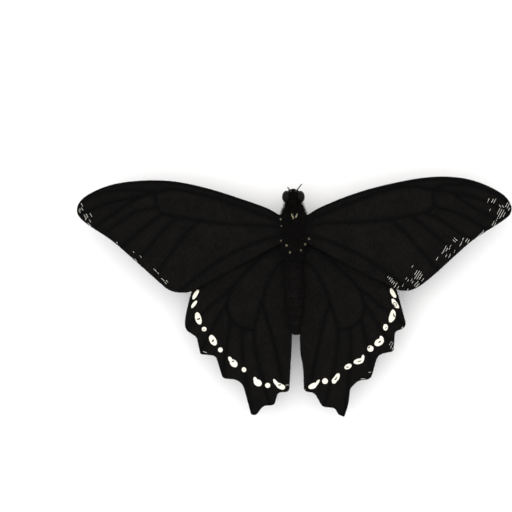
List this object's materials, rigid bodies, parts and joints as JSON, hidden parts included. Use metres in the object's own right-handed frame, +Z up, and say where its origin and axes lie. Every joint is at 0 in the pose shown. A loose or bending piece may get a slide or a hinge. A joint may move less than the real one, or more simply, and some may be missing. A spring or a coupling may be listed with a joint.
{
  "type": "swallowtail butterfly with spread wings",
  "caption": "Dried black swallowtail butterfly with flat spread wings, scalloped tailed hindwings with a curved row of ivory spots, standing on its legs.",
  "frame": {"origin": "on the surface that the feet stand on, under the middle of the wings' span and of the whole length", "axes": "+X to the insect's right wing tip, +Y towards its head, +Z up"},
  "size_m": [0.1002, 0.0557, 0.0104],
  "materials": {
    "wing_scales": "matt velvet of black scales with ivory spots along the hindwings' edges",
    "body_hair": "dense short black hair",
    "eye": "shiny dark faceted cornea",
    "feeler": "tan horny cuticle",
    "leg": "dark horny cuticle with fine scales"
  },
  "bodies": {
    "root": {"head": "body_hair", "thorax": "body_hair", "abdomen": "body_hair", "palp_left": "body_hair", "palp_right": "body_hair", "eye_left": "eye", "eye_right": "eye", "proboscis": "feeler", "antenna_left": "feeler", "antenna_right": "feeler", "forewing_left": "wing_scales", "forewing_right": "wing_scales", "hindwing_left": "wing_scales", "hindwing_right": "wing_scales", "leg_front_left": "leg", "leg_front_right": "leg", "leg_middle_left": "leg", "leg_middle_right": "leg", "leg_hind_left": "leg", "leg_hind_right": "leg"}
  },
  "joints": []
}
